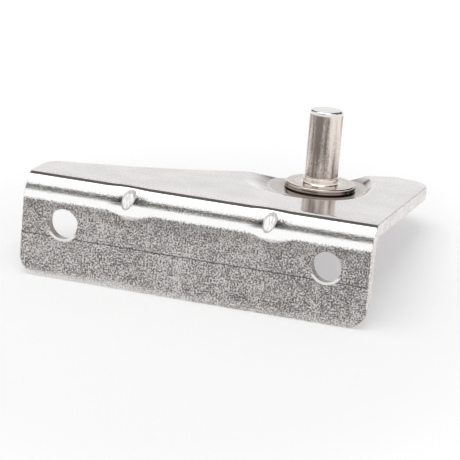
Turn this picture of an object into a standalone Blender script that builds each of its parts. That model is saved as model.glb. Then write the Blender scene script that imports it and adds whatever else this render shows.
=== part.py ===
# Fridge door hinge: a folded stainless sheet with a turned pin staked into its plate.
# The origin is midway between the two screw holes, on the flange's outer face.
# X runs along the fold, Y away from the cabinet, Z up the pin.

import math

import bmesh
import bpy

MM = 0.001

# The sheet and its fold
SHEET = 3.2 * MM
BEND_RADIUS = 5.0 * MM  # on the outside of the fold

# The flange, which is screwed to the cabinet
FLANGE_LENGTH = 84.0 * MM
FLANGE_HEIGHT = 24.0 * MM
FLANGE_CORNER = 5.0 * MM
SCREW_HOLE = 7.0 * MM
SCREW_INSET = 10.25 * MM  # from each end of the flange
SCREW_DROP = 10.8 * MM  # from the plate's top down to the holes' centres

# The line that the folding die leaves across the flange
DIE_LINE_DROP = 14.0 * MM
DIE_LINE_DEPTH = 0.12 * MM

# The plate's outline: depths are from the flange's outer face, slopes are against the fold
LEFT_DEPTH = 15.2 * MM
LEFT_CORNER = 4.5 * MM
SWEEP_SHARE = 0.28  # of the flange's length, where the rear edge turns towards the pin
SWEEP_RADIUS = 100.0 * MM
REAR_SLOPE = math.radians(29.2)
REAR_MARGIN = 9.0 * MM  # from the pin's axis square to the rear edge
REAR_CORNER = 5.0 * MM
LOBE_WIDTH = 9.2 * MM  # from the rear corner to the right edge
LOBE_SLOPE = math.radians(12.4)
RIGHT_CORNER = 6.0 * MM

# The dish that is pressed into the plate under the collar: round, but flattened towards the right edge
DISH_DEPTH = 1.3 * MM
DISH_FLOOR_RADIUS = 12.2 * MM
DISH_WALL = 6.3 * MM  # how far the wall spreads outwards
DISH_FLAT = 12.6 * MM  # from the pin's axis to the line that flattens the right side
DISH_FLAT_TURN = math.radians(8.0)  # of that side, away from square to the fold
DISH_BLEND = 4  # how tightly the round turns into the flat: higher is tighter

# The gusset darts that stiffen the fold: each is a V whose root line leans back from the flange
DART_PITCH = 34.0 * MM
DART_FOOT_DROP = 5.5 * MM  # from the plate's top down to where the root leaves the flange
DART_LEAN = math.radians(29.0)
DART_HALF_ANGLE = math.radians(56.0)
DART_ROOT_RADIUS = 0.5 * MM

# The pin
PIN_FROM_RIGHT = 22.9 * MM
PIN_FROM_FACE = 34.5 * MM
PIN_DIAMETER = 7.94 * MM
PIN_HEIGHT = 17.4 * MM  # above the collar
PIN_CHAMFER = 0.5 * MM
FOOT_DIAMETER = 8.4 * MM
FOOT_HEIGHT = 1.4 * MM
FOOT_FILLET = 0.4 * MM
NECK_DEPTH = 0.25 * MM
NECK_WIDTH = 0.4 * MM
COLLAR_DIAMETER = 16.8 * MM
COLLAR_THICKNESS = 1.2 * MM
COLLAR_TOP_EDGE = 0.4 * MM
COLLAR_LOWER_EDGE = 0.15 * MM
TAIL_DIAMETER = 5.6 * MM
STAKE_DIAMETER = 8.8 * MM
STAKE_HEIGHT = 1.1 * MM

# Fits and finish
CLEARANCE = 0.3 * MM  # between the pin and the sheet
MARGIN = 4.0 * MM  # how far a blank or a cutter runs past what it cuts
FADE = 0.01 * MM  # how far the dish's press tools stop short of the sheet's faces
BEND_STEPS = 10
ROUND_STEPS = 72
HOLE_STEPS = 40
DISH_STEPS = 9
CORNER_STEPS = 7

# Sizes that follow from the ones above
PLATE_TOP = SCREW_DROP
FLANGE_BOTTOM = PLATE_TOP - FLANGE_HEIGHT
HALF_LENGTH = FLANGE_LENGTH / 2
SCREW_X = HALF_LENGTH - SCREW_INSET
PIN_X = HALF_LENGTH - PIN_FROM_RIGHT
PIN_Y = PIN_FROM_FACE
REAR_Y = PIN_Y + REAR_MARGIN / math.cos(REAR_SLOPE)  # the rear edge behind the pin
LOBE_X = HALF_LENGTH - LOBE_WIDTH
LOBE_Y = REAR_Y + (LOBE_X - PIN_X) * math.tan(REAR_SLOPE)
SWEEP_X = FLANGE_LENGTH * SWEEP_SHARE - HALF_LENGTH
SWEEP_Y = REAR_Y + (SWEEP_X - PIN_X) * math.tan(REAR_SLOPE)
RIGHT_DEPTH = LOBE_Y - LOBE_WIDTH * math.tan(LOBE_SLOPE)
DISH_FLOOR = PLATE_TOP - DISH_DEPTH
DISH_RADIUS = DISH_FLOOR_RADIUS + DISH_WALL
REACH = LOBE_Y + DISH_RADIUS  # safely past the plate's rear edge


def new_collection(name):
    collection = bpy.data.collections.new(name)
    bpy.context.scene.collection.children.link(collection)
    return collection


def steel(name, colour, roughness):
    material = bpy.data.materials.new(name)
    material.use_nodes = True
    shader = material.node_tree.nodes["Principled BSDF"]
    shader.inputs["Base Color"].default_value = (*colour, 1.0)
    shader.inputs["Metallic"].default_value = 1.0
    shader.inputs["Roughness"].default_value = roughness
    return material


def add_object(name, mesh, collection):
    obj = bpy.data.objects.new(name, mesh)
    collection.objects.link(obj)
    return obj


def mark_cutter(obj):
    obj.hide_render = True
    obj.display_type = "WIRE"
    return obj


def rounded(corners):
    """An outline from (x, y, radius) corners, with an arc in each corner that has a radius."""
    points = []
    for index, (x, y, radius) in enumerate(corners):
        if radius == 0:
            points.append((x, y))
            continue
        before = corners[index - 1]
        after = corners[(index + 1) % len(corners)]
        start = math.atan2(before[1] - y, before[0] - x)
        turn = math.atan2(after[1] - y, after[0] - x) - start
        turn = math.atan2(math.sin(turn), math.cos(turn))
        middle = start + turn / 2
        reach = radius / math.sin(abs(turn) / 2)
        centre = (x + reach * math.cos(middle), y + reach * math.sin(middle))
        sweep = math.copysign(math.pi, turn) - turn
        first = start - math.copysign(math.pi / 2, turn)
        for step in range(CORNER_STEPS + 1):
            angle = first - sweep * step / CORNER_STEPS
            points.append((centre[0] + radius * math.cos(angle), centre[1] + radius * math.sin(angle)))
    return points


def prism(name, outline, length, collection):
    """A flat outline given a length along its own Z, half to each side."""
    curve = bpy.data.curves.new(name, "CURVE")
    curve.dimensions = "2D"
    curve.fill_mode = "BOTH"
    curve.extrude = length / 2
    spline = curve.splines.new("POLY")
    spline.points.add(len(outline) - 1)
    for point, (x, y) in zip(spline.points, outline):
        point.co = (x, y, 0, 1)
    spline.use_cyclic_u = True
    drawn = add_object(name + "_outline", curve, collection)
    bpy.context.view_layer.update()
    depsgraph = bpy.context.evaluated_depsgraph_get()
    mesh = bpy.data.meshes.new_from_object(drawn.evaluated_get(depsgraph))
    bpy.data.objects.remove(drawn)
    solid = bmesh.new()
    solid.from_mesh(mesh)
    bmesh.ops.remove_doubles(solid, verts=solid.verts, dist=0.001 * MM)
    bmesh.ops.recalc_face_normals(solid, faces=solid.faces)
    solid.to_mesh(mesh)
    solid.free()
    return add_object(name, mesh, collection)


def turned(name, profile, collection):
    """A solid of revolution about its own Z from (radius, height) points, top to bottom."""
    mesh = bpy.data.meshes.new(name)
    edges = [(index, index + 1) for index in range(len(profile) - 1)]
    mesh.from_pydata([(radius, 0, height) for radius, height in profile], edges, [])
    obj = add_object(name, mesh, collection)
    screw = obj.modifiers.new("turning", "SCREW")
    screw.steps = ROUND_STEPS
    screw.render_steps = ROUND_STEPS
    screw.use_merge_vertices = True
    screw.merge_threshold = 0.001 * MM
    return obj


def stacked(name, outlines, collection):
    """A solid through a stack of outlines with the same number of points, closed at both ends."""
    solid = bmesh.new()
    rows = [[solid.verts.new(point) for point in outline] for outline in outlines]
    for row, following in zip(rows[:-1], rows[1:]):
        for index in range(len(row)):
            before = index - 1
            solid.faces.new((row[before], row[index], following[index], following[before]))
    solid.faces.new(rows[0])
    solid.faces.new(rows[-1])
    bmesh.ops.triangulate(solid, faces=solid.faces)
    bmesh.ops.recalc_face_normals(solid, faces=solid.faces)
    mesh = bpy.data.meshes.new(name)
    solid.to_mesh(mesh)
    solid.free()
    return add_object(name, mesh, collection)


def rod(name, diameter, length, segments, collection):
    """A round bar along its own Z, centred on its origin."""
    solid = bmesh.new()
    bmesh.ops.create_cone(
        solid, cap_ends=True, segments=segments, radius1=diameter / 2, radius2=diameter / 2, depth=length
    )
    mesh = bpy.data.meshes.new(name)
    solid.to_mesh(mesh)
    solid.free()
    return add_object(name, mesh, collection)


def cut(obj, cutter, operation):
    modifier = obj.modifiers.new(cutter.name, "BOOLEAN")
    modifier.operation = operation
    modifier.object = mark_cutter(cutter)
    modifier.solver = "EXACT"


def folded_blank(collection):
    """An oversize L: the outer face is drawn once, run along the fold and thickened inwards."""
    section = [(0.0, FLANGE_BOTTOM - MARGIN)]
    for step in range(BEND_STEPS + 1):
        angle = math.pi / 2 * step / BEND_STEPS
        section.append(
            (BEND_RADIUS * (1 - math.cos(angle)), PLATE_TOP - BEND_RADIUS * (1 - math.sin(angle)))
        )
    section.append((REACH, PLATE_TOP))
    sheet = bmesh.new()
    verts = [sheet.verts.new((-HALF_LENGTH - MARGIN, y, z)) for y, z in section]
    edges = [sheet.edges.new(pair) for pair in zip(verts[:-1], verts[1:])]
    run = bmesh.ops.extrude_edge_only(sheet, edges=edges)
    moved = [item for item in run["geom"] if isinstance(item, bmesh.types.BMVert)]
    bmesh.ops.translate(sheet, verts=moved, vec=(FLANGE_LENGTH + 2 * MARGIN, 0, 0))
    bmesh.ops.recalc_face_normals(sheet, faces=sheet.faces)
    if next(iter(sheet.faces)).normal.y > 0:
        bmesh.ops.reverse_faces(sheet, faces=sheet.faces)
    mesh = bpy.data.meshes.new("bracket")
    sheet.to_mesh(mesh)
    sheet.free()
    bracket = add_object("bracket", mesh, collection)
    wall = bracket.modifiers.new("sheet", "SOLIDIFY")
    wall.thickness = SHEET
    wall.offset = -1
    wall.use_even_offset = True
    return bracket


def dish_outline(radius, height):
    """The dish about the pin's axis at one height: a circle that blends into its flattened side."""
    points = []
    for step in range(ROUND_STEPS):
        angle = 2 * math.pi * step / ROUND_STEPS
        across = max(math.cos(angle - DISH_FLAT_TURN), 0) / DISH_FLAT
        reach = (radius**-DISH_BLEND + across**DISH_BLEND) ** (-1 / DISH_BLEND)
        points.append((reach * math.cos(angle), reach * math.sin(angle), height))
    return points


def press_curve(level):
    """The dish's wall from its rim in to its floor, as an S that starts at the given height."""
    outlines = []
    for step in range(DISH_STEPS + 1):
        part = step / DISH_STEPS
        drop = DISH_DEPTH * (1 - math.cos(math.pi * part)) / 2
        outlines.append(dish_outline(DISH_RADIUS - DISH_WALL * part, level - drop))
    return outlines


def press_dish(bracket, cutters):
    """The punch hollows the top face, and the metal it moves stands out below."""
    punch = [dish_outline(DISH_RADIUS + MARGIN / 4, PLATE_TOP + rise) for rise in (MARGIN, MARGIN / 8)]
    punch += press_curve(PLATE_TOP - FADE)
    bulge = [dish_outline(DISH_RADIUS, PLATE_TOP - (DISH_DEPTH + SHEET) / 2)]
    bulge += press_curve(PLATE_TOP - SHEET + FADE)
    for name, outlines, operation in (("dish_bulge", bulge, "UNION"), ("dish_punch", punch, "DIFFERENCE")):
        tool = stacked(name, outlines, cutters)
        tool.location = (PIN_X, PIN_Y, 0)
        cut(bracket, tool, operation)


def dart_section(root, radius, base):
    """A V with a rounded root, drawn from its open base to its root."""
    sharp = root + radius * (1 / math.sin(DART_HALF_ANGLE) - 1)
    half = (sharp - base) * math.tan(DART_HALF_ANGLE)
    return rounded([(-half, base, 0), (0, sharp, radius), (half, base, 0)])


def dart_tool(name, section, low, high, x, cutters):
    """A V bar along the dart's root line, from low to high above the root's foot."""
    tool = prism(name, section, high - low, cutters)
    middle = (low + high) / 2
    tool.rotation_euler = (-DART_LEAN, 0, 0)
    tool.location = (
        x, middle * math.sin(DART_LEAN), PLATE_TOP - DART_FOOT_DROP + middle * math.cos(DART_LEAN)
    )
    return tool


def press_darts(bracket, cutters):
    """Each dart is a V punched in across the fold, and the same sheet stands out inside as a rib."""
    root_length = DART_FOOT_DROP / math.cos(DART_LEAN)
    dent = dart_section(0, DART_ROOT_RADIUS, -MARGIN)
    overrun = SHEET / 4
    inner_radius = BEND_RADIUS - SHEET
    centre_depth = BEND_RADIUS * math.cos(DART_LEAN) - (DART_FOOT_DROP - BEND_RADIUS) * math.sin(DART_LEAN)
    rib_base = centre_depth - inner_radius - overrun
    rib = dart_section(SHEET, DART_ROOT_RADIUS + SHEET, rib_base)
    rib_low = SHEET * math.tan(DART_LEAN / 2) - overrun
    rib_high = (DART_FOOT_DROP - SHEET) / math.cos(DART_LEAN) + SHEET * math.tan(DART_LEAN) + overrun
    for name, x in (("left", -DART_PITCH / 2), ("right", DART_PITCH / 2)):
        cut(bracket, dart_tool(name + "_rib", rib, rib_low, rib_high, x, cutters), "UNION")
        cut(bracket, dart_tool(name + "_dent", dent, -MARGIN, root_length + MARGIN, x, cutters), "DIFFERENCE")


def plate_outline():
    return rounded([
        (-HALF_LENGTH, -MARGIN, 0),
        (-HALF_LENGTH, LEFT_DEPTH, LEFT_CORNER),
        (SWEEP_X, SWEEP_Y, SWEEP_RADIUS),
        (LOBE_X, LOBE_Y, REAR_CORNER),
        (HALF_LENGTH, RIGHT_DEPTH, RIGHT_CORNER),
        (HALF_LENGTH, -MARGIN, 0),
    ])


def flange_outline():
    return rounded([
        (-HALF_LENGTH, PLATE_TOP + MARGIN, 0),
        (-HALF_LENGTH, FLANGE_BOTTOM, FLANGE_CORNER),
        (HALF_LENGTH, FLANGE_BOTTOM, FLANGE_CORNER),
        (HALF_LENGTH, PLATE_TOP + MARGIN, 0),
    ])


def trim(bracket, cutters):
    """The blank is brought to its outline from above and from the front."""
    plan = prism("plate_outline", plate_outline(), 2 * FLANGE_HEIGHT + 2 * MARGIN, cutters)
    cut(bracket, plan, "INTERSECT")
    front = prism("flange_outline", flange_outline(), 2 * REACH, cutters)
    front.rotation_euler = (math.pi / 2, 0, 0)
    cut(bracket, front, "INTERSECT")


def punch_holes(bracket, cutters):
    for side in (-1, 1):
        name = "left_screw_hole" if side < 0 else "right_screw_hole"
        screw_hole = rod(name, SCREW_HOLE, 2 * MARGIN + 2 * SHEET, HOLE_STEPS, cutters)
        screw_hole.rotation_euler = (math.pi / 2, 0, 0)
        screw_hole.location = (side * SCREW_X, 0, 0)
        cut(bracket, screw_hole, "DIFFERENCE")
    pin_hole = rod("pin_hole", TAIL_DIAMETER + 2 * CLEARANCE, 2 * (SHEET + MARGIN), HOLE_STEPS, cutters)
    pin_hole.location = (PIN_X, PIN_Y, DISH_FLOOR)
    cut(bracket, pin_hole, "DIFFERENCE")


def score_die_line(bracket, cutters):
    """A shallow V across the flange, cut by the edge of a square bar."""
    bar = rod("die_line", 2 * MARGIN, FLANGE_LENGTH + 2 * MARGIN, 4, cutters)
    bar.rotation_euler = (0, math.pi / 2, 0)
    bar.location = (0, DIE_LINE_DEPTH - MARGIN, PLATE_TOP - DIE_LINE_DROP)
    cut(bracket, bar, "DIFFERENCE")


def make_bracket(collection, cutters):
    bracket = folded_blank(collection)
    press_dish(bracket, cutters)
    press_darts(bracket, cutters)
    trim(bracket, cutters)
    punch_holes(bracket, cutters)
    score_die_line(bracket, cutters)
    bracket.data.materials.append(steel("sheet_steel", (0.62, 0.61, 0.60), 0.3))
    return bracket


def arc(centre_r, centre_z, radius, start, end, steps):
    """Points of a turned radius, with angles in degrees from the pin's outward direction."""
    points = []
    for step in range(steps + 1):
        angle = math.radians(start + (end - start) * step / steps)
        points.append((centre_r + radius * math.cos(angle), centre_z + radius * math.sin(angle)))
    return points


def pin_profile():
    """Heights are from the collar's underside."""
    pin_r = PIN_DIAMETER / 2
    foot_r = FOOT_DIAMETER / 2
    collar_r = COLLAR_DIAMETER / 2
    tail_r = TAIL_DIAMETER / 2
    stake_r = STAKE_DIAMETER / 2
    collar_top = COLLAR_THICKNESS
    top = collar_top + PIN_HEIGHT
    foot_top = collar_top + FOOT_HEIGHT
    stake_top = -SHEET - 2 * CLEARANCE
    foot_edge = FOOT_FILLET / 2
    profile = [(0, top), (pin_r - PIN_CHAMFER, top), (pin_r, top - PIN_CHAMFER)]
    profile += [(pin_r, foot_top + NECK_WIDTH), (pin_r - NECK_DEPTH, foot_top + NECK_WIDTH - NECK_DEPTH)]
    profile += [(pin_r - NECK_DEPTH, foot_top)]
    profile += arc(foot_r - foot_edge, foot_top - foot_edge, foot_edge, 90, 0, 3)
    profile += arc(foot_r + FOOT_FILLET, collar_top + FOOT_FILLET, FOOT_FILLET, 180, 270, 4)
    profile += arc(collar_r - COLLAR_TOP_EDGE, collar_top - COLLAR_TOP_EDGE, COLLAR_TOP_EDGE, 90, 0, 4)
    profile += [(collar_r, COLLAR_LOWER_EDGE), (collar_r - COLLAR_LOWER_EDGE, 0), (tail_r, 0)]
    profile += [(tail_r, stake_top), (stake_r, stake_top)]
    dome = (stake_r**2 + STAKE_HEIGHT**2) / (2 * STAKE_HEIGHT)
    spread = math.degrees(math.asin(stake_r / dome))
    profile += arc(0, stake_top - STAKE_HEIGHT + dome, dome, spread - 90, -90, 6)[1:-1]
    profile.append((0, stake_top - STAKE_HEIGHT))
    return profile


def make_pin(collection):
    pin = turned("hinge_pin", pin_profile(), collection)
    pin.location = (PIN_X, PIN_Y, DISH_FLOOR + CLEARANCE)
    pin.data.materials.append(steel("pin_steel", (0.66, 0.64, 0.61), 0.22))
    return pin


def shade(obj, sharp_angle):
    obj.data.shade_smooth()
    obj.data.set_sharp_from_angle(angle=math.radians(sharp_angle))


def build():
    for obj in list(bpy.data.objects):
        bpy.data.objects.remove(obj)
    parts = new_collection("fridge_door_hinge")
    cutters = new_collection("cutters")
    bracket = make_bracket(parts, cutters)
    pin = make_pin(parts)
    mount = bpy.data.objects.new("cabinet_face", None)
    parts.objects.link(mount)
    for obj in (bracket, pin):
        obj.parent = mount
        shade(obj, 30)


build()
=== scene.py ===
import math

import bmesh
import bpy
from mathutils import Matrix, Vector


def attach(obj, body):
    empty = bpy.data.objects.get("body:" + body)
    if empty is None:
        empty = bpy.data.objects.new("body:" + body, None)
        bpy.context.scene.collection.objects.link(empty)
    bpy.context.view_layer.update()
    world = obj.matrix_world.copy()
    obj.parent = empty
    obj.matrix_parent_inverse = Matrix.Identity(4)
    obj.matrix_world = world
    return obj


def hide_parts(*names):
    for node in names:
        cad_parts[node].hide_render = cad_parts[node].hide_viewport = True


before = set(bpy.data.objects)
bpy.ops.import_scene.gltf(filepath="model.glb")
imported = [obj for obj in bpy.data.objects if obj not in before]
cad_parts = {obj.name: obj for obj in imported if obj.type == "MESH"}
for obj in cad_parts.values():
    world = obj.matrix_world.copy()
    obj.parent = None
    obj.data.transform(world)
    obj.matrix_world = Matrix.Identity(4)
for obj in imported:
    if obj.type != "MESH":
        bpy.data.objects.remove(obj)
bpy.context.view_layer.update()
mm = 0.001


# Small tools for modelling by operator

def deselect():
    bpy.ops.object.select_all(action="DESELECT")


def only(piece):
    deselect()
    piece.select_set(True)
    bpy.context.view_layer.objects.active = piece


def begin(name, adder, scale=(1, 1, 1), **settings):  # adds a primitive and leaves it at the origin
    deselect()
    adder(**settings)
    piece = bpy.context.object
    piece.name = name
    piece.data.name = name
    piece.scale = scale
    bpy.ops.object.transform_apply(location=True, rotation=True, scale=True)
    return piece


def pick(piece, wanted):  # selects points in edit mode
    bpy.ops.mesh.select_mode(type="VERT")
    bpy.ops.mesh.select_all(action="DESELECT")
    mesh = bmesh.from_edit_mesh(piece.data)
    for vert in mesh.verts:
        if wanted(vert):
            vert.select_set(True)
    mesh.select_flush_mode()
    bmesh.update_edit_mesh(piece.data)


def near(vert, x=None, y=None, z=None):
    wants = ((vert.co.x, x), (vert.co.y, y), (vert.co.z, z))
    return all(want is None or abs(value - want) < 0.01 * mm for value, want in wants)


def applied(piece, kind, **settings):
    only(piece)
    modifier = piece.modifiers.new(kind.lower(), kind)
    for key, value in settings.items():
        setattr(modifier, key, value)
    bpy.ops.object.modifier_apply(modifier=modifier.name)


def combine(piece, tool, how):
    applied(piece, "BOOLEAN", object=tool, operation=how, solver="EXACT")
    bpy.data.objects.remove(tool)


def press(piece, direction, depth, share):  # moves each point along an axis by its own share of a depth
    only(piece)
    group = piece.vertex_groups.new(name="pressed")
    for vert in piece.data.vertices:
        weight = share(vert.co)
        if weight > 0.001:
            group.add([vert.index], weight, "REPLACE")
    applied(piece, "DISPLACE", direction=direction, strength=depth, mid_level=0, vertex_group="pressed")
    piece.vertex_groups.clear()


def eased(value, low, high):  # 0 to 1 with a soft start and end
    part = min(1, max(0, (value - low) / (high - low)))
    return part * part * (3 - 2 * part)


# A folded sheet with a pressed dish and two darts

bracketShape = {
    "halfLength": 42.0 * mm,
    "top": 10.8 * mm,
    "bottom": -13.2 * mm,
    "sheet": 3.2 * mm,
    "fold": 5.0 * mm,
    "foldTall": 1.35,  # the fold runs further down the flange than it does along the plate
    "foldSteps": 28,
    "corners": (  # x, y, length that the rounding takes off each side
        (-42.0 * mm, 15.2 * mm, 3.1 * mm),
        (-18.48 * mm, 23.81 * mm, 8.0 * mm),
        (32.8 * mm, 52.47 * mm, 1.9 * mm),
        (42.0 * mm, 50.45 * mm, 4.8 * mm),
    ),
    "flangeCorner": 5.0 * mm,
    "screwX": 31.75 * mm,
    "screwHole": 3.5 * mm,  # radius at the front
    "holeFlare": 0.3 * mm,  # for each thickness of the sheet
    "holeSteps": 64,
    "edgeBreak": 0.3 * mm,
    "holeBreak": 0.1 * mm,
    "breakAngle": math.radians(40),  # edges sharper than this are broken
    "cornerSteps": 12,
    "pinHole": 2.8 * mm,  # radius
    "smooth": math.radians(32),
    "dartX": 17.0 * mm,
    "dartLean": math.radians(29),
    "dartDepth": 0.30 * mm,  # under the sheet that sinks around it
    "dartTurn": math.radians(8),  # its upper end is nearer the pin
    "dartRound": 2.8 * mm,  # radius of the punch that makes it
    "dartSteps": 96,
    "ribRound": 3.5 * mm,  # radius of the rib that it raises inside
    "ribShift": 0.3 * mm,  # how far out from the dart's root its centre lies
    "ribTrim": 1.6 * mm,  # how far under the dart's root it is cut off
    "ribCover": 1.0 * mm,  # how far inside the sheet's outer faces its ends are cut off
    "ribLength": 9.0 * mm,
    "funnelDepth": 0.5 * mm,  # how far the sheet around each dart sinks
    "funnelWide": 5.5 * mm,
    "funnelTall": 6.4 * mm,
    "funnelShift": 0.9 * mm,  # up along the dart
}
dish = {
    "x": 19.1 * mm,
    "y": 34.5 * mm,
    "depth": 1.3 * mm,
    # radii in mm, one for every 30 degrees from +X, of the top and the foot of the dish's wall
    "rims": (12.3, 13.0, 16.0, 18.0, 18.2, 18.1, 17.9, 18.4, 18.5, 18.1, 17.0, 14.3),
    "feet": (10.4, 11.0, 12.4, 12.4, 12.0, 11.8, 11.7, 12.0, 12.8, 13.4, 12.6, 11.1),
    "shoulder": 0.16,  # share of the wall that rounds over at the rim
    "crease": 0.06,  # share of the wall that rounds out at its foot
}


def breakEdges(piece, width, steps, angle):
    applied(piece, "BEVEL", width=width, segments=steps, limit_method="ANGLE", angle_limit=angle)


def foldSheet(s):
    deep = 60 * mm  # past the plate's rear edge, which is shaped next
    sheet = begin(
        "hinge_bracket", bpy.ops.mesh.primitive_plane_add,
        size=1, location=(0, deep / 2, s["top"]), scale=(2 * s["halfLength"], deep, 1),
    )
    bpy.ops.object.mode_set(mode="EDIT")
    pick(sheet, lambda v: near(v, y=deep))
    bpy.ops.mesh.subdivide(number_cuts=2)
    starts = [s["halfLength"] * share for share in (-1, -1 / 3, 1 / 3, 1)]
    for start, (x, y, _) in zip(starts, s["corners"]):
        pick(sheet, lambda v: near(v, x=start, y=deep))
        bpy.ops.transform.translate(value=(x - start, y - deep, 0))
    pick(sheet, lambda v: near(v, y=0))
    bpy.ops.mesh.extrude_region_move(TRANSFORM_OT_translate={"value": (0, 0, s["bottom"] - s["top"])})
    pick(sheet, lambda v: near(v, y=0, z=s["top"]))
    bpy.ops.mesh.bevel(offset=s["fold"], segments=s["foldSteps"], affect="EDGES")
    pick(sheet, lambda v: v.co.z > s["top"] - s["fold"] - 0.01 * mm and v.co.y < s["fold"] - 0.01 * mm)
    bpy.ops.transform.resize(value=(1, 1, s["foldTall"]), center_override=(0, 0, s["top"]))
    for x, y, cut in s["corners"]:
        pick(sheet, lambda v: near(v, x=x, y=y))
        bpy.ops.mesh.bevel(offset=cut, segments=s["cornerSteps"], affect="VERTICES")
    for side in (-1, 1):
        pick(sheet, lambda v: near(v, x=side * s["halfLength"], y=0, z=s["bottom"]))
        bpy.ops.mesh.bevel(offset=s["flangeCorner"], segments=s["cornerSteps"], affect="VERTICES")
    bpy.ops.object.mode_set(mode="OBJECT")
    applied(sheet, "SOLIDIFY", thickness=s["sheet"], offset=-1, use_even_offset=True)
    breakEdges(sheet, s["edgeBreak"], 3, s["breakAngle"])
    for side in (-1, 1):
        punch = begin(  # a punched hole widens towards the back
            "punch", bpy.ops.mesh.primitive_cone_add, vertices=s["holeSteps"], depth=4 * s["sheet"],
            radius1=s["screwHole"] + 2 * s["holeFlare"], radius2=s["screwHole"] - 2 * s["holeFlare"],
            location=(side * s["screwX"], 0, 0), rotation=(math.pi / 2, 0, 0),
        )
        combine(sheet, punch, "DIFFERENCE")
    breakEdges(sheet, s["holeBreak"], 2, s["breakAngle"])
    return sheet


slices = {  # start, end and spacing of the cuts that divide the sheet
    "plateLeft": (-40 * mm, 0, 2 * mm),
    "dishAcross": (0, 33 * mm, 0.35 * mm),
    "roundDart": (-9 * mm, 9 * mm, 0.6 * mm),  # from each dart's middle
    "inDart": (-2.2 * mm, 2.2 * mm, 0.2 * mm),
    "foldBack": (5.4 * mm, 9 * mm, 0.6 * mm),
    "plateFront": (10.5 * mm, 15 * mm, 1.5 * mm),
    "dishBack": (15.6 * mm, 52.2 * mm, 0.35 * mm),
    "flangeTop": (-4 * mm, -0.4 * mm, 0.4 * mm),  # from the fold's lower end
}


def spread(low, high, step):
    count = max(1, round((high - low) / step))
    return [low + (high - low) * index / count for index in range(count + 1)]


def sliceUp(sheet, s, cuts):  # fine squares where the press tools shape the sheet
    across = set(spread(*cuts["plateLeft"])) | set(spread(*cuts["dishAcross"]))
    for side in (-1, 1):
        middle = side * s["dartX"]
        for low, high, step in (cuts["roundDart"], cuts["inDart"]):
            across |= set(spread(middle + low, middle + high, step))
    back = spread(*cuts["foldBack"]) + spread(*cuts["plateFront"]) + spread(*cuts["dishBack"])
    foot = s["top"] - s["fold"] * s["foldTall"]
    low, high, step = cuts["flangeTop"]
    down = spread(foot + low, foot + high, step)
    only(sheet)
    bpy.ops.object.mode_set(mode="EDIT")
    for spots, direction in ((across, (1, 0, 0)), (back, (0, 1, 0)), (down, (0, 0, 1))):
        for spot in sorted(spots):
            bpy.ops.mesh.select_all(action="SELECT")
            bpy.ops.mesh.bisect(
                plane_co=[spot * part for part in direction], plane_no=direction, threshold=0.002 * mm
            )
    bpy.ops.object.mode_set(mode="OBJECT")


def ringed(values, turn):  # a smooth closed curve through evenly spaced values, turn from 0 to 1
    place = turn % 1 * len(values)
    index = int(place)
    part = place - index
    before, here, after, later = (values[(index + step) % len(values)] for step in (-1, 0, 1, 2))
    bend = 2 * before - 5 * here + 4 * after - later + part * (3 * (here - after) + later - before)
    return here + part / 2 * (after - before + part * bend)


def dishShare(spot):  # how far down the dish's wall a point lies, from 0 at the rim to 1 on the floor
    x, y = spot.x - dish["x"], spot.y - dish["y"]
    turn = math.atan2(y, x) / (2 * math.pi)
    rim, foot = ringed(dish["rims"], turn), ringed(dish["feet"], turn)
    wall = min(1, max(0, (rim - math.hypot(x, y) / mm) / (rim - foot)))
    top, low = dish["shoulder"], dish["crease"]
    steep = 1 / (1 - top / 2 - low / 2)  # a straight wall between two small roundings
    if wall < top:
        return steep * wall * wall / top / 2
    if wall > 1 - low:
        return 1 - steep * (1 - wall) ** 2 / low / 2
    return steep * (wall - top / 2)


def dartFrame(s):  # the fold's centre, the way out of the dart, the way along it, and the fold's crown there
    lean = s["dartLean"]
    out = Vector((0, -math.cos(lean), math.sin(lean)))
    along = Vector((0, math.sin(lean), math.cos(lean)))
    tall = s["fold"] * s["foldTall"]
    centre = Vector((0, s["fold"], s["top"] - tall))
    crown = math.hypot(s["fold"] * out.y, tall * out.z)
    return centre, out, along, crown


def funnelShare(spot, s):
    centre, out, along, _ = dartFrame(s)
    if (spot - centre).dot(out) <= 0:
        return 0
    across = (abs(spot.x) - s["dartX"]) / s["funnelWide"]
    run = ((spot - centre).dot(along) - s["funnelShift"]) / s["funnelTall"]
    return 1 - eased(math.hypot(across, run), 0, 1)


def pressDarts(sheet, s):
    centre, out, _, crown = dartFrame(s)
    press(sheet, "Y", -s["funnelDepth"] * out.y, lambda spot: funnelShare(spot, s))
    press(sheet, "Z", -s["funnelDepth"] * out.z, lambda spot: funnelShare(spot, s))
    for side in (-1, 1):
        root = centre + out * (crown - s["funnelDepth"] - s["dartDepth"])
        root.x = side * s["dartX"]
        rib = begin(
            "rib", bpy.ops.mesh.primitive_cylinder_add, vertices=s["dartSteps"],
            radius=s["ribRound"], depth=s["ribLength"],
            location=root + out * s["ribShift"], rotation=(-s["dartLean"], 0, 0),
        )
        bpy.ops.object.mode_set(mode="EDIT")
        trims = (
            (root - out * s["ribTrim"], out),
            ((0, 0, s["top"] - s["ribCover"]), (0, 0, 1)),
            ((0, s["ribCover"], 0), (0, -1, 0)),
        )
        for spot, direction in trims:
            bpy.ops.mesh.select_all(action="SELECT")
            bpy.ops.mesh.bisect(plane_co=spot, plane_no=direction, use_fill=True, clear_outer=True)
        bpy.ops.object.mode_set(mode="OBJECT")
        combine(sheet, rib, "UNION")
        dent = begin(
            "dent", bpy.ops.mesh.primitive_cylinder_add, vertices=s["dartSteps"],
            radius=s["dartRound"], depth=30 * mm,
            location=root + out * s["dartRound"], rotation=(-s["dartLean"], s["dartTurn"], 0),
        )
        combine(sheet, dent, "DIFFERENCE")


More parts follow.
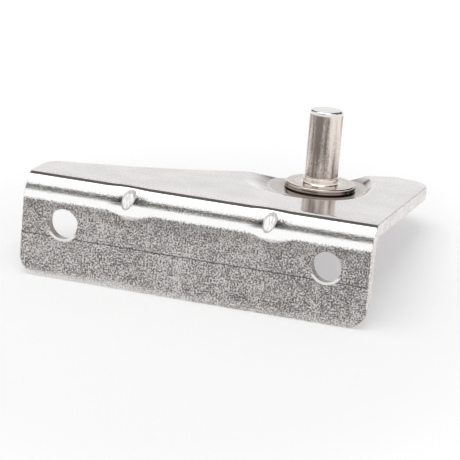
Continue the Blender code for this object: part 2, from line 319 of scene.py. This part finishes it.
def makeBracket(s):
    sheet = foldSheet(s)
    print("bracket folded:", len(sheet.data.polygons))
    sliceUp(sheet, s, slices)
    print("bracket sliced:", len(sheet.data.polygons))
    press(sheet, "Z", -dish["depth"], dishShare)
    pressDarts(sheet, s)
    print("bracket pressed:", len(sheet.data.polygons))
    hole = begin(
        "pin_hole", bpy.ops.mesh.primitive_cylinder_add, vertices=s["holeSteps"], radius=s["pinHole"],
        depth=20 * mm, location=(dish["x"], dish["y"], s["top"]),
    )
    combine(sheet, hole, "DIFFERENCE")
    only(sheet)
    bpy.ops.object.shade_smooth_by_angle(angle=s["smooth"])
    applied(sheet, "WEIGHTED_NORMAL", keep_sharp=True)
    return sheet


# The pin is turned in one with its collar and staked under the plate

pinShape = {
    "floor": 9.5 * mm,  # where the collar sits in the dish
    "top": 28.4 * mm,
    "radius": 3.97 * mm,
    "chamfer": 0.7 * mm,
    "neck": 0.3 * mm,  # depth of the undercut above the foot
    "neckTall": 0.4 * mm,
    "neckEdge": 0.1 * mm,
    "foot": 4.2 * mm,
    "footTop": 12.4 * mm,
    "footEdge": 0.15 * mm,
    "fillet": 0.3 * mm,
    "collar": 8.4 * mm,
    "collarTop": 11.0 * mm,
    "collarEdge": 0.45 * mm,
    "collarCut": (0.15 * mm, 0.2 * mm),  # the cut at its lower edge, inwards and up
    "seatGap": 0.03 * mm,
    "tail": 2.8 * mm,
    "stake": 4.4 * mm,
    "stakeTop": 6.0 * mm,
    "stakeEnd": 4.9 * mm,
    "stakeEdge": 0.2 * mm,
    "stakeDome": ((0.75, 0.4 * mm), (0.45, 0.08 * mm)),  # share of the radius, height above the end
    "steps": 128,
    "smooth": math.radians(30),
}


def roundOver(radius, height, size, start, end, steps):  # a small turned radius about a centre
    spots = []
    for index in range(steps + 1):
        angle = math.radians(start + (end - start) * index / steps)
        spots.append((radius + size * math.cos(angle), height + size * math.sin(angle)))
    return spots


def pinProfile(s):  # radius and height, from the pin's top to its staked end
    radius, chamfer, footTop, collarTop = s["radius"], s["chamfer"], s["footTop"], s["collarTop"]
    profile = [(radius - chamfer, s["top"])]
    profile += roundOver(radius - chamfer, s["top"] - chamfer, chamfer, 68, 8, 4)
    profile += [(radius, s["top"] - 2 * chamfer), (radius, footTop + s["neckTall"] + s["neckEdge"] / 2)]
    profile += roundOver(radius - s["neckEdge"], footTop + s["neckTall"], s["neckEdge"], 0, -80, 3)
    profile += [(radius - s["neck"], footTop + s["neckTall"] / 2), (radius - s["neck"], footTop)]
    profile += roundOver(s["foot"] - s["footEdge"], footTop - s["footEdge"], s["footEdge"], 90, 0, 4)
    profile += roundOver(s["foot"] + s["fillet"], collarTop + s["fillet"], s["fillet"], 180, 270, 5)
    edge = s["collarEdge"]
    profile += roundOver(s["collar"] - edge, collarTop - edge, edge, 90, 0, 7)
    inwards, up = s["collarCut"]
    seat = s["floor"] + s["seatGap"]
    profile += [(s["collar"], s["floor"] + up), (s["collar"] - inwards, seat)]
    profile += [(s["tail"], seat), (s["tail"], s["stakeTop"])]
    edge = s["stakeEdge"]
    profile += roundOver(s["stake"] - edge, s["stakeTop"] - edge, edge, 90, 0, 4)
    profile += [(s["stake"] * share, s["stakeEnd"] + height) for share, height in s["stakeDome"]]
    return profile


def turnPin(s):
    profile = pinProfile(s)
    pin = begin(
        "hinge_pin_turned", bpy.ops.mesh.primitive_circle_add, vertices=s["steps"],
        radius=profile[0][0], fill_type="NGON", location=(dish["x"], dish["y"], profile[0][1]),
    )
    bpy.ops.object.mode_set(mode="EDIT")
    bpy.ops.mesh.select_all(action="SELECT")
    centre = [dish["x"], dish["y"], 0]
    last = profile[0]
    for radius, height in profile[1:]:
        grow = radius / last[0]
        bpy.ops.mesh.extrude_region_move(TRANSFORM_OT_translate={"value": (0, 0, height - last[1])})
        centre[2] = height
        bpy.ops.transform.resize(value=(grow, grow, 1), center_override=centre)
        last = (radius, height)
    bpy.ops.mesh.select_all(action="SELECT")
    bpy.ops.mesh.normals_make_consistent(inside=False)
    bpy.ops.object.mode_set(mode="OBJECT")
    bpy.ops.object.shade_smooth_by_angle(angle=s["smooth"])
    applied(pin, "WEIGHTED_NORMAL", keep_sharp=True)
    return pin


# Finishes

class Value:  # a socket that arithmetic adds Math nodes to
    def __init__(self, look, socket):
        self.look = look
        self.socket = socket

    def sum(self, how, first, second):
        return self.look.node("ShaderNodeMath", {"operation": how}, {0: first, 1: second})

    def __add__(self, other):
        return self.sum("ADD", self, other)

    def __radd__(self, other):
        return self.sum("ADD", other, self)

    def __sub__(self, other):
        return self.sum("SUBTRACT", self, other)

    def __rsub__(self, other):
        return self.sum("SUBTRACT", other, self)

    def __mul__(self, other):
        return self.sum("MULTIPLY", self, other)

    def __rmul__(self, other):
        return self.sum("MULTIPLY", other, self)

    def __truediv__(self, other):
        return self.sum("DIVIDE", self, other)


class Look:  # a material and its nodes
    def __init__(self, name):
        self.material = bpy.data.materials.new(name)
        self.material.use_nodes = True
        self.tree = self.material.node_tree
        self.shader = self.tree.nodes["Principled BSDF"]
        self.output = self.tree.nodes["Material Output"]

    def node(self, kind, settings=None, inputs=None, out=0):
        made = self.tree.nodes.new(kind)
        for key, value in (settings or {}).items():
            setattr(made, key, value)
        for key, value in (inputs or {}).items():
            self.feed(made.inputs[key], value)
        return Value(self, made.outputs[out])

    def feed(self, socket, value):
        if isinstance(value, Value):
            self.tree.links.new(value.socket, socket)
        else:
            socket.default_value = value

    def set(self, **values):
        for key, value in values.items():
            self.feed(self.shader.inputs[key.replace("_", " ")], value)

    def place(self):
        return self.node("ShaderNodeTexCoord", out="Object")

    def axes(self, vector):
        split = self.node("ShaderNodeSeparateXYZ", None, {0: vector})
        made = split.socket.node
        return [Value(self, made.outputs[index]) for index in range(3)]

    def ramp(self, value, low, high, start=0.0, end=1.0):  # an eased step from start to end
        return self.node(
            "ShaderNodeMapRange", {"interpolation_type": "SMOOTHSTEP"},
            {0: value, 1: low, 2: high, 3: start, 4: end},
        )

    def fall(self, value, low, high):
        return self.ramp(value, low, high, 1.0, 0.0)

    def strip(self, value, reach):  # rises between the first two places and falls between the last two
        return self.ramp(value, *reach[:2]) * self.fall(value, *reach[2:])

    def around(self, value, middle, full, clear):  # full beside a place, and clear further off
        return self.fall(self.apart(value, middle), full, clear)

    def blend(self, share, first, second):
        return self.node(
            "ShaderNodeMix", {"data_type": "RGBA"}, {0: share, 6: first, 7: second}, out=2
        )

    def noise(self, vector, scale, detail=2.0, rough=0.5):
        return self.node(
            "ShaderNodeTexNoise", None,
            {"Vector": vector, "Scale": scale, "Detail": detail, "Roughness": rough},
        )

    def apart(self, first, second):
        return self.node("ShaderNodeMath", {"operation": "ABSOLUTE"}, {0: first - second})

    def length(self, first, second):
        return self.node("ShaderNodeMath", {"operation": "SQRT"}, {0: first * first + second * second})

    def stretch(self, vector, sizes):
        return self.node("ShaderNodeVectorMath", {"operation": "MULTIPLY"}, {0: vector, 1: sizes})

    def bump(self, height, depth):
        return self.node("ShaderNodeBump", None, {"Height": height, "Distance": depth, "Strength": 1.0})


sheetFinish = {
    "plain": (0.83, 0.79, 0.79, 1),
    "rolled": (0.65, 0.62, 0.625, 1),  # the finer tone of the rolled surface
    "dishShade": (0.46, 0.415, 0.39, 1),  # painted shade on the dish's floor and on the right of its wall
    "burnishedAndGlints": (0.97, 0.965, 0.96, 1),  # bright metal where the folding die has rubbed, and all painted glints and highlights
    "bright": (0.80, 0.77, 0.745, 1),  # the light grain of the flange and the fold
    "darkGrainAndReflection": (0.05, 0.044, 0.04, 1),  # and the dark grain, also used for the painted dark reflections beside the darts
    "shadeAndSpecks": (0.26, 0.23, 0.215, 1),  # painted shade round the dish's floor and along the darts' rims, and dark specks beside the darts
    "scraped": (0.72, 0.72, 0.74, 1),  # streaks in the darts
    "cut": (0.60, 0.56, 0.54, 1),  # specks on the sheet's cut ends
    "punched": (0.10, 0.075, 0.06, 1),  # the walls of the screw holes, painted dark
    "line": (0.05, 0.05, 0.05, 1),  # left by the folding die
    "grain": 2500.0,
    "middling": (520, 520, 640),
    "broad": 110.0,
    "shares": (0.70, 0.19, 0.11),  # of the three in the grain
    "speckLevels": (0.445, 0.565),
    "rolledLevels": (0.42, 0.58),
    "patchLevels": (0.44, 0.58),
    "cutLevels": (0.44, 0.56),
    # scale of the painted glints
    "sparks": 3400.0,
    "sparkLevels": (0.62, 0.70),
    "streaks": (2600, 700, 700),
    "streakLevels": (0.44, 0.60),
    "grainDepth": 0.12 * mm,
    "lineAt": (-3.2 * mm, 0.06 * mm, 0.2 * mm),  # its height, and where it fades above and below
    "bulge": 1.5 * mm,  # how far the burnished strip reaches down under each dart
    "bulgeWide": 6.0 * mm,
    "bulgeShift": 1.2 * mm,
    "outer": (0.6 * mm, 1.6 * mm),  # from the flange's face
    "frontEnd": (4.7 * mm, 5.4 * mm),  # heights where the flange's grain ends
    "frontRagged": 1.6 * mm,
    "frontDarker": (1.0 * mm, 5.0 * mm),  # heights over which the grain darkens
    "band": (6.7 * mm, 7.1 * mm, 8.3 * mm, 8.8 * mm),  # heights of the grain on the fold
    "bandRagged": 1.2 * mm,
    "rubbedBack": (3.2 * mm, 4.2 * mm),
    "rubbedFoot": (4.0 * mm, 4.6 * mm),
    "hemTop": (-12.8 * mm, -11.0 * mm),
    "leftSide": (-5.5 * mm, -1.8 * mm, -1.1 * mm, -0.8 * mm),  # beside a dart, from its middle
    "rightSide": (1.1 * mm, 1.4 * mm, 2.6 * mm, 6.0 * mm),
    "leftWedge": (7.1 * mm, 0.3 * mm, 1.1 * mm),  # painted dark reflections beside each dart, placed as for the line
    "rightWedge": (7.7 * mm, 0.4 * mm, 1.1 * mm),
    "patch": (8.6 * mm, 0.3 * mm, 1.2 * mm),
    "dartEdge": (0.01 * mm, 0.05 * mm),
    "dartBack": (3.6 * mm, 4.0 * mm),
    "dartFoot": (4.8 * mm, 5.4 * mm),
    "dartRim": 0.06 * mm,
    "plate": (12 * mm, 13 * mm),  # from the flange's face
    "dishFoot": (9.52 * mm, 9.60 * mm, 9.65 * mm, 10.7 * mm),  # heights of the painted shade at the foot of the dish's wall
    "dishWall": (9.65 * mm, 9.8 * mm, 10.5 * mm, 10.78 * mm),
    "dishRight": (5 * mm, 11 * mm),  # from the pin's axis, where the painted shade on the dish's wall grows towards the right
    # heights of the dish's floor, which is painted in shade
    "dishFloor": (9.3 * mm, 9.4 * mm, 9.50 * mm, 9.56 * mm),
    "collarShade": (8.4 * mm, 10.5 * mm),  # from the pin's axis
    "burrHighlightRound": (3.9 * mm, 4.3 * mm),  # the burr under each screw hole, painted bright as its highlight, from a screw hole's axis
    "burrHighlightTop": (-2.6 * mm, -1.6 * mm),
    "burrHighlightDeep": (0.1 * mm, 0.4 * mm),
    "holeRound": (4.0 * mm, 4.2 * mm),
    "holeDeep": (0.2 * mm, 0.5 * mm),
    "endX": (41.7 * mm, 41.85 * mm),
    "speckDrift": (-10 * mm, 42 * mm, 0.0, 0.012),  # fewer specks towards the right
    "hemAlong": (-42 * mm, 10 * mm, 0.8, 0.25),  # weaker towards the right
    "shows": {  # how strongly each mark covers what lies under it, up to 1
        "front": 0.85,
        "darker": 0.35,
        "sparks": 0.9,
        "band": 0.45,
        "wedges": 0.8,
        "wedgeSpecks": 0.35,
        "patches": 0.9,
        "line": 0.75,
        "dartRim": 0.5,
        "dishFoot": 0.75,
        "dishRight": 0.55,
        "collarShade": 0.6,
        "punched": 0.95,
        "ends": 0.9,
    },
    "relief": {"plain": 0.04, "band": 0.9, "patches": 0.3, "front": 0.85, "ends": 0.8, "streaks": 0.6},
    "roughness": {"plain": 0.12, "front": 0.2, "dart": 0.45, "ends": 0.2},
}


def sheetSteel(s):
    look = Look("pressed_sheet_steel")
    shows, reliefs, roughs = s["shows"], s["relief"], s["roughness"]
    place = look.place()
    x, y, z = look.axes(place)
    fine = look.noise(place, s["grain"], 2.0, 0.7)
    middling = look.noise(look.stretch(place, s["middling"]), 1.0, 3.0, 0.6)
    broad = look.noise(place, s["broad"], 2.0)
    grain = fine * s["shares"][0] + middling * s["shares"][1] + broad * s["shares"][2]
    outer = look.fall(y, *s["outer"])
    centre, out, _, crown = dartFrame(bracketShape)
    root = centre + out * (crown - bracketShape["funnelDepth"] - bracketShape["dartDepth"])
    rise = (y - root.y) * out.y + (z - root.z) * out.z  # above the darts' root line
    slant = (z - root.z) * math.tan(bracketShape["dartTurn"])
    punch = bracketShape["dartRound"]
    bulges, wedges, patches, dart = 0.0, 0.0, 0.0, 0.0
    for way in (-1, 1):
        past = x - way * bracketShape["dartX"]
        bulges = look.ramp(look.apart(past, s["bulgeShift"]), 0.0, s["bulgeWide"], s["bulge"], 0.0) + bulges
        gap = look.length(past - slant, rise - punch) - punch  # from the punch's surface
        dart = look.fall(gap, *s["dartEdge"]) + dart
        left = look.strip(past, s["leftSide"])
        right = look.strip(past, s["rightSide"])
        wedges = left * look.around(z, *s["leftWedge"]) + wedges
        wedges = right * look.around(z, *s["rightWedge"]) + wedges
        patches = right * look.around(z, *s["patch"]) + patches

    lower = z + bulges
    front = look.fall(lower + (grain - 0.5) * s["frontRagged"], *s["frontEnd"]) * outer
    rubbed = look.fall(y, *s["rubbedBack"]) * look.ramp(z, *s["rubbedFoot"])
    band = look.strip(z + (grain - 0.5) * s["bandRagged"], s["band"]) * outer
    specks = look.ramp(grain - look.ramp(x, *s["speckDrift"]), *s["speckLevels"])
    rolled = look.ramp(fine * 0.7 + broad * 0.3, *s["rolledLevels"])
    plain = look.blend(rolled, s["plain"], s["rolled"])
    colour = look.blend(rubbed, plain, s["burnishedAndGlints"])
    grainy = look.blend(specks, s["darkGrainAndReflection"], s["bright"])
    grainy = look.blend(look.ramp(lower, *s["frontDarker"], 0.0, shows["darker"]), grainy, s["darkGrainAndReflection"])
    hem = look.fall(z, *s["hemTop"]) * look.ramp(x, *s["hemAlong"])
    # painted glints: bright specks in the flange's colour
    sparks = look.ramp(look.noise(place, s["sparks"], 1.0), *s["sparkLevels"])
    grainy = look.blend(hem, grainy, s["burnishedAndGlints"])
    grainy = look.blend(sparks * shows["sparks"], grainy, s["burnishedAndGlints"])
    colour = look.blend(front * shows["front"] + band * shows["band"], colour, grainy)
    # painted dark reflections in wedges beside each dart
    wedge = look.blend(specks * shows["wedgeSpecks"], s["darkGrainAndReflection"], s["bright"])
    colour = look.blend(wedges * shows["wedges"], colour, wedge)
    patched = patches * look.ramp(fine, *s["patchLevels"], shows["patches"], 0.0)
    colour = look.blend(patched, colour, s["shadeAndSpecks"])
    line = look.around(z, *s["lineAt"]) * front
    colour = look.blend(line * shows["line"], colour, s["line"])

    dart = dart * look.fall(y, *s["dartBack"]) * look.ramp(z, *s["dartFoot"])
    tall = bracketShape["fold"] * bracketShape["foldTall"]
    sunk = 1.0 - look.length((y - centre.y) / bracketShape["fold"], (z - centre.z) / tall)
    brink = bracketShape["funnelDepth"]
    # painted shade along each dart's rim
    rim = dart * look.fall(sunk * crown, brink, brink + s["dartRim"])
    streaks = look.noise(look.stretch(place, s["streaks"]), 1.0, 3.0, 0.6)
    scraped = look.blend(look.ramp(streaks, *s["streakLevels"]), s["burnishedAndGlints"], s["scraped"])
    colour = look.blend(dart, colour, scraped)
    colour = look.blend(rim * shows["dartRim"], colour, s["shadeAndSpecks"])

    plate = look.ramp(y, *s["plate"])
    # painted shade at the foot of the dish's wall
    colour = look.blend(look.strip(z, s["dishFoot"]) * plate * shows["dishFoot"], colour, s["shadeAndSpecks"])
    # painted shade on the right of the dish's wall
    right = look.ramp(x - dish["x"], *s["dishRight"], 0.0, shows["dishRight"])
    colour = look.blend(look.strip(z, s["dishWall"]) * plate * right, colour, s["dishShade"])
    # the dish's floor painted in shade
    floor = look.strip(z, s["dishFloor"]) * plate
    colour = look.blend(floor, colour, s["dishShade"])
    away = look.length(x - dish["x"], y - dish["y"])
    shade = floor * look.ramp(away, *s["collarShade"], shows["collarShade"], 0.0)
    colour = look.blend(shade, colour, s["shadeAndSpecks"])

    hole = look.length(look.apart(look.apart(x, 0.0), bracketShape["screwX"]), z)
    # the burr under each screw hole, with a painted highlight
    burrHighlight = look.fall(hole, *s["burrHighlightRound"]) * look.fall(z, *s["burrHighlightTop"])
    colour = look.blend(burrHighlight * look.fall(y, *s["burrHighlightDeep"]), colour, s["burnishedAndGlints"])
    # the screw holes' walls, painted dark
    inside = look.ramp(y, *s["holeDeep"]) * look.fall(hole, *s["holeRound"])
    colour = look.blend(inside * shows["punched"], colour, s["punched"])
    ends = look.ramp(look.apart(x, 0.0), *s["endX"])
    cut = look.blend(look.ramp(grain, *s["cutLevels"]), s["cut"], s["burnishedAndGlints"])
    colour = look.blend(ends * shows["ends"], colour, cut)

    relief = reliefs["plain"] + reliefs["band"] * band + reliefs["patches"] * patches
    relief = relief + reliefs["front"] * front * (1.0 - ends) + reliefs["ends"] * ends
    bump = look.bump(grain * relief + streaks * dart * reliefs["streaks"], s["grainDepth"])
    rough = roughs["plain"] + roughs["front"] * front + roughs["dart"] * dart + roughs["ends"] * ends
    look.set(Base_Color=colour, Metallic=1.0, Roughness=rough, Normal=bump)
    return look.material


pinFinish = {
    "light": (0.84, 0.76, 0.70, 1),
    # the dark of the painted reflections on the shank and of the painted shade line round the collar
    "dark": (0.13, 0.105, 0.085, 1),
    "end": (0.80, 0.77, 0.75, 1),
    "collar": (0.68, 0.62, 0.58, 1),
    "rim": (0.50, 0.43, 0.38, 1),  # the collar's turned edge
    "seat": (0.07, 0.055, 0.045, 1),  # painted shade where the collar meets the dish
    "shank": (12.2 * mm, 12.8 * mm, 27.3 * mm, 27.6 * mm),  # heights of the streaks, dark reflections painted along the shank
    "fineStreaks": (1100, 1100, 60),
    "broadStreaks": (260, 260, 22),
    "specks": 2600.0,
    "shares": (0.35, 0.5, 0.15),  # of the three in the streaks
    "streakLevels": (0.43, 0.57),
    "endFoot": (27.4 * mm, 27.7 * mm),
    "circles": 5200.0,
    "circleLevels": (0.42, 0.60),
    "flatRound": (4.4 * mm, 5.0 * mm),  # from the pin's axis
    "flatFoot": (10.5 * mm, 10.7 * mm),
    "edgeRound": (7.9 * mm, 8.2 * mm),
    "edgeFoot": (9.0 * mm, 9.4 * mm),
    "grooves": (60, 60, 4200),
    "grooveLevels": (0.35, 0.6),
    "ringAt": (10.25 * mm, 0.04 * mm, 0.14 * mm),  # a dark ring round the collar's side, painted shade standing for a groove
    "seatTop": (9.7 * mm, 10.1 * mm),
    "shows": {"streaks": 0.8, "grooves": (0.45, 1.0), "ring": 0.65, "seat": 0.95},  # as for the sheet
    "depth": 0.02 * mm,
    "streakRelief": 0.3,
    "roughness": {"plain": 0.15, "shank": 0.12, "streaks": 0.08},
}


def pinSteel(s):
    look = Look("turned_pin_steel")
    shows, roughs = s["shows"], s["roughness"]
    place = look.place()
    x, y, z = look.axes(place)
    away = look.length(x - dish["x"], y - dish["y"])
    shank = look.strip(z, s["shank"])
    fine = look.noise(look.stretch(place, s["fineStreaks"]), 1.0, 3.0, 0.6)
    broad = look.noise(look.stretch(place, s["broadStreaks"]), 1.0, 2.0, 0.5)
    specks = look.noise(place, s["specks"], 2.0, 0.6)
    mixed = fine * s["shares"][0] + broad * s["shares"][1] + specks * s["shares"][2]
    # painted reflections: dark streaks along the shank
    streaks = look.ramp(mixed, *s["streakLevels"]) * shank
    colour = look.blend(streaks * shows["streaks"], s["light"], s["dark"])
    colour = look.blend(look.ramp(z, *s["endFoot"]), colour, s["end"])
    circles = look.noise(look.node("ShaderNodeCombineXYZ", None, {0: away, 2: z}), s["circles"], 2.0)
    flat = look.ramp(away, *s["flatRound"]) * look.ramp(z, *s["flatFoot"])
    collar = look.blend(look.ramp(circles, *s["circleLevels"]), s["collar"], s["rim"])
    colour = look.blend(flat, colour, collar)
    edge = look.ramp(away, *s["edgeRound"]) * look.ramp(z, *s["edgeFoot"])
    grooves = look.noise(look.stretch(place, s["grooves"]), 1.0, 2.0)
    turned = edge * look.ramp(grooves, *s["grooveLevels"], *shows["grooves"])
    colour = look.blend(turned, colour, s["rim"])
    # painted shade of a groove round the collar's side
    ring = look.around(z, *s["ringAt"]) * edge
    colour = look.blend(ring * shows["ring"], colour, s["dark"])
    # painted shade on the collar's side where it meets the dish
    colour = look.blend(edge * look.ramp(z, *s["seatTop"], shows["seat"], 0.0), colour, s["seat"])
    bump = look.bump(circles + streaks * s["streakRelief"], s["depth"])
    rough = roughs["plain"] + roughs["shank"] * shank + roughs["streaks"] * streaks
    look.set(Base_Color=colour, Metallic=1.0, Roughness=rough, Normal=bump)
    return look.material


# The pieces

bracket = makeBracket(bracketShape)
bracket.data.materials.clear()
bracket.data.materials.append(sheetSteel(sheetFinish))
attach(bracket, "root")
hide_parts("bracket")
print("bracket made")

pin = turnPin(pinShape)
pin.data.materials.clear()
pin.data.materials.append(pinSteel(pinFinish))
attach(pin, "root")
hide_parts("hinge_pin")
print("pin made")


# The studio

studio = {
    "floorTilt": math.radians(15),  # the photo stands the hinge like a tent, so the floor leans
    "floorSize": 3.0,
    "floorZ": -13.25 * mm,
    "paper": (0.88, 0.88, 0.88, 1),
    "paperRough": 0.9,
    "glow": (0.27, 0.9),  # the floor's glow for the camera, under the hinge and away from it
    "glowReach": (0.05, 0.22),
    "mirrored": 0.35,  # the floor's glow in reflections
    "sky": 0.5,  # the sky's light; it is 1 in reflections and behind the scene
}


def makeFloor(s):
    floor = begin(
        "floor", bpy.ops.mesh.primitive_plane_add, size=s["floorSize"],
        rotation=(s["floorTilt"], 0, 0), location=(0, 0, s["floorZ"]),
    )
    look = Look("floor_paper")
    look.set(Base_Color=s["paper"], Roughness=s["paperRough"])
    rays = look.node("ShaderNodeLightPath", out="Is Camera Ray")
    path = rays.socket.node
    mirrored = Value(look, path.outputs["Is Glossy Ray"]) + Value(look, path.outputs["Is Transmission Ray"])
    x, y, _ = look.axes(look.place())
    level = look.ramp(look.length(x, y), *s["glowReach"], *s["glow"])
    strength = rays * level + mirrored * s["mirrored"]
    glow = look.node("ShaderNodeEmission", None, {"Color": (1, 1, 1, 1), "Strength": strength})
    lit = look.node("ShaderNodeAddShader", None, {0: Value(look, look.shader.outputs[0]), 1: glow})
    behind = look.node("ShaderNodeNewGeometry", out="Backfacing")
    clear = look.node("ShaderNodeBsdfTransparent")
    both = look.node("ShaderNodeMixShader", None, {0: behind, 1: lit, 2: clear})
    look.tree.links.new(both.socket, look.output.inputs["Surface"])
    floor.data.materials.append(look.material)


flags = {  # dark cards that the steel mirrors; rise and roll are in degrees, size is long and wide
    "backFlag": {"across": 0.0, "rise": 67, "roll": 0, "front": False, "size": (2.4, 0.44), "shade": 0.19},
    "frontFlag": {"across": -0.3, "rise": 38, "roll": 10, "front": True, "size": (0.84, 0.33), "shade": 0.18},
    "lowFlag": {"across": 0.0, "rise": -14, "roll": 0, "front": True, "size": (2.4, 0.22), "shade": 0.33},
    "dishFlag": {
        "across": 0.38, "rise": 34, "roll": 0, "front": False, "size": (1.0, 0.56), "shade": 0.13,
        "fade": (0.26, 0.41),  # the height at which it turns from clear to dark
    },
    "sideFlag": {
        "across": -1.04, "rise": 40, "roll": 0, "front": False, "size": (1.16, 0.86), "shade": 0.2,
        "fade": (0.26, 0.46),
    },
}
flagSet = {
    "far": 0.9,  # from the hinge
    "tint": (1, 0.94, 0.89),
}


def makeFlags(cards, s):
    for name, card in cards.items():
        rise = math.radians(card["rise"])
        away = -1 if card["front"] else 1
        turn = rise + math.pi / 2 if card["front"] else math.pi / 2 - rise
        flag = begin(
            name, bpy.ops.mesh.primitive_plane_add, size=1, scale=(*card["size"], 1),
            rotation=(0, 0, math.radians(card["roll"])),
        )
        flag.rotation_euler = (-turn, 0, 0)
        flag.location = (card["across"], away * s["far"] * math.cos(rise), s["far"] * math.sin(rise))
        only(flag)
        bpy.ops.object.transform_apply(location=True, rotation=True, scale=True)
        flag.visible_camera = False
        flag.visible_diffuse = False
        flag.visible_shadow = False
        look = Look(name + "_cloth")
        look.set(Base_Color=[card["shade"] * part for part in s["tint"]] + [1])
        look.set(Roughness=1.0, Specular_IOR_Level=0.0)
        if "fade" in card:
            _, _, z = look.axes(look.place())
            inputs = {
                0: look.ramp(z, *card["fade"]),
                1: look.node("ShaderNodeBsdfTransparent"),
                2: Value(look, look.shader.outputs[0]),
            }
            mixed = look.node("ShaderNodeMixShader", None, inputs)
            look.tree.links.new(mixed.socket, look.output.inputs["Surface"])
        flag.data.materials.append(look.material)


overhead = {"spot": (-0.1, -0.13, 0.75), "size": (0.7, 0.42), "power": 2.0}


def makeLamp(name, s):
    deselect()
    bpy.ops.object.light_add(type="AREA", location=s["spot"])
    lamp = bpy.context.object
    lamp.name = name
    lamp.data.shape = "RECTANGLE"
    lamp.data.size, lamp.data.size_y = s["size"]
    lamp.data.energy = s["power"]


def makeSky(s):
    world = bpy.data.worlds.new("studio_sky")
    bpy.context.scene.world = world
    world.use_nodes = True
    tree = world.node_tree
    shade = tree.nodes["Background"]
    shade.inputs["Color"].default_value = (1, 1, 1, 1)
    rays = tree.nodes.new("ShaderNodeLightPath")
    seen = tree.nodes.new("ShaderNodeMath")
    seen.operation = "MAXIMUM"
    strength = tree.nodes.new("ShaderNodeMapRange")
    strength.inputs["To Min"].default_value = s["sky"]
    strength.inputs["To Max"].default_value = 1.0
    tree.links.new(rays.outputs["Is Camera Ray"], seen.inputs[0])
    tree.links.new(rays.outputs["Is Glossy Ray"], seen.inputs[1])
    tree.links.new(seen.outputs[0], strength.inputs["Value"])
    tree.links.new(strength.outputs[0], shade.inputs["Strength"])


view = {
    "spot": (200.71 * mm, -629.12 * mm, 170.61 * mm),
    "turn": (75.82, -4.75, 18.19),  # degrees
    "lens": 234.78,
    "sensor": 36,
}


def makeCamera(s):
    deselect()
    bpy.ops.object.camera_add(location=s["spot"], rotation=[math.radians(part) for part in s["turn"]])
    camera = bpy.context.object
    camera.data.sensor_width = s["sensor"]
    camera.data.lens = s["lens"]
    bpy.context.scene.camera = camera


makeFloor(studio)
makeFlags(flags, flagSet)
makeLamp("overhead", overhead)
makeSky(studio)
makeCamera(view)
bpy.context.scene.view_settings.view_transform = "Standard"
print("studio made")
